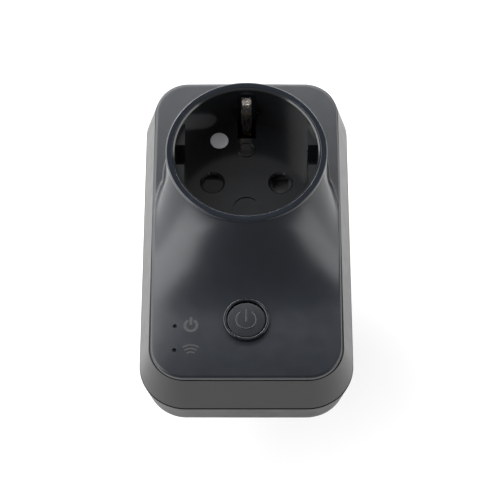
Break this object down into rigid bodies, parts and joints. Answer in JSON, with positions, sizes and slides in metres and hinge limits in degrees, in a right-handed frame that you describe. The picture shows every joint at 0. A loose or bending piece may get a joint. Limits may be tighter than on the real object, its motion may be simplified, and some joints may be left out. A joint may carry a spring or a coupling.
{
  "type": "smart plug",
  "caption": "Wall plug adapter with a round recessed socket on a swept front, a round power button, two lamp pinholes and a two-pin plug behind.",
  "frame": {"origin": "centre of the plug's front face, midway between the two pins, where the plug meets the wall socket's floor", "axes": "+Z out of the front socket, away from the wall (the pins point to -Z); +Y towards the socket end, away from the power button; +X to the right seen from the front"},
  "size_m": [0.058, 0.0984, 0.0755],
  "materials": {
    "cover_plastic": "satin-gloss blue-black moulding",
    "case_plastic": "fine satin dark grey",
    "shell_plastic": "fine satin dark grey",
    "plug_plastic": "satin black",
    "insert_plastic": "polished black",
    "button_plastic": "satin blue-black",
    "bezel_gloss": "high gloss black",
    "shutter_plastic": "satin black",
    "carrier_plastic": "moulded",
    "black_component": "moulded",
    "seal_paper": "pale grey matt",
    "nickel_plate": "bright nickel plate",
    "brass_parts": "stamped brass",
    "copper_strap": "stamped copper alloy",
    "screw_steel": "zinc plated",
    "spring_steel": "drawn wire",
    "clear_rod": "clear moulded rod",
    "lamp_body": "lamp package",
    "board_laminate": "green solder mask",
    "relay_case": "moulded blue case",
    "ferrite": "sintered ferrite",
    "coil_tape": "taped winding",
    "capacitor_can": "sleeved can",
    "film_capacitor": "boxed film capacitor",
    "varistor_coat": "epoxy coat",
    "fuse_glass": "glass body",
    "shield_can": "tinned can"
  },
  "bodies": {
    "case": {"front_cover": "cover_plastic", "housing_frame": "case_plastic", "rear_shell": "shell_plastic", "case_screws": "screw_steel", "plug_body": "plug_plastic", "plug_pin_neutral": "nickel_plate", "plug_pin_line": "nickel_plate", "earth_hole_tube": "brass_parts", "plug_earth_contact_top": "nickel_plate", "plug_earth_contact_bottom": "nickel_plate", "earth_bar": "brass_parts", "socket_insert": "insert_plastic", "seal_disc": "seal_paper", "shutter_spring": "spring_steel", "contact_carrier": "carrier_plastic", "socket_contact_neutral": "brass_parts", "socket_contact_line": "brass_parts", "button_bezel": "bezel_gloss", "tact_switch": "black_component", "light_pipe_power": "clear_rod", "light_pipe_radio": "clear_rod", "led_power": "lamp_body", "led_radio": "lamp_body", "main_board": "board_laminate", "control_board": "board_laminate", "board_spacers": "brass_parts", "relay": "relay_case", "transformer_core": "ferrite", "transformer_coil": "coil_tape", "smoothing_capacitors": "capacitor_can", "suppression_capacitor": "film_capacitor", "varistor": "varistor_coat", "fuse_link": "fuse_glass", "board_header": "black_component", "radio_module": "board_laminate", "radio_shield": "shield_can", "neutral_strap": "copper_strap", "line_strap": "copper_strap", "switched_strap": "copper_strap"},
    "button": {"power_button": "button_plastic", "tact_plunger": "black_component"},
    "shutter_disc": {"shutter": "shutter_plastic"},
    "top_clip": {"earth_clip_top": "nickel_plate"},
    "bottom_clip": {"earth_clip_bottom": "nickel_plate"}
  },
  "joints": [
    {"name": "button_press", "type": "slide", "parent": "case", "child": "button", "axis": [0, 0, -1], "range_m": [0, 0.0006], "stiffness_N_per_m": 3000, "springref_m": -0.0003},
    {"name": "shutter_turn", "type": "hinge", "parent": "case", "child": "shutter_disc", "pos_m": [0, 0, 0.0362], "axis": [0, 0, 1], "range_deg": [0, 38], "stiffness_Nm_per_rad": 0.004, "springref_deg": -11.46},
    {"name": "top_clip_flex", "type": "hinge", "parent": "case", "child": "top_clip", "pos_m": [0, 0.0182, 0.0395], "axis": [-1, 0, 0], "range_deg": [0, 2.5], "stiffness_Nm_per_rad": 0.85},
    {"name": "bottom_clip_flex", "type": "hinge", "parent": "case", "child": "bottom_clip", "pos_m": [0, -0.0182, 0.0395], "axis": [1, 0, 0], "range_deg": [0, 2.5], "stiffness_Nm_per_rad": 0.85}
  ]
}
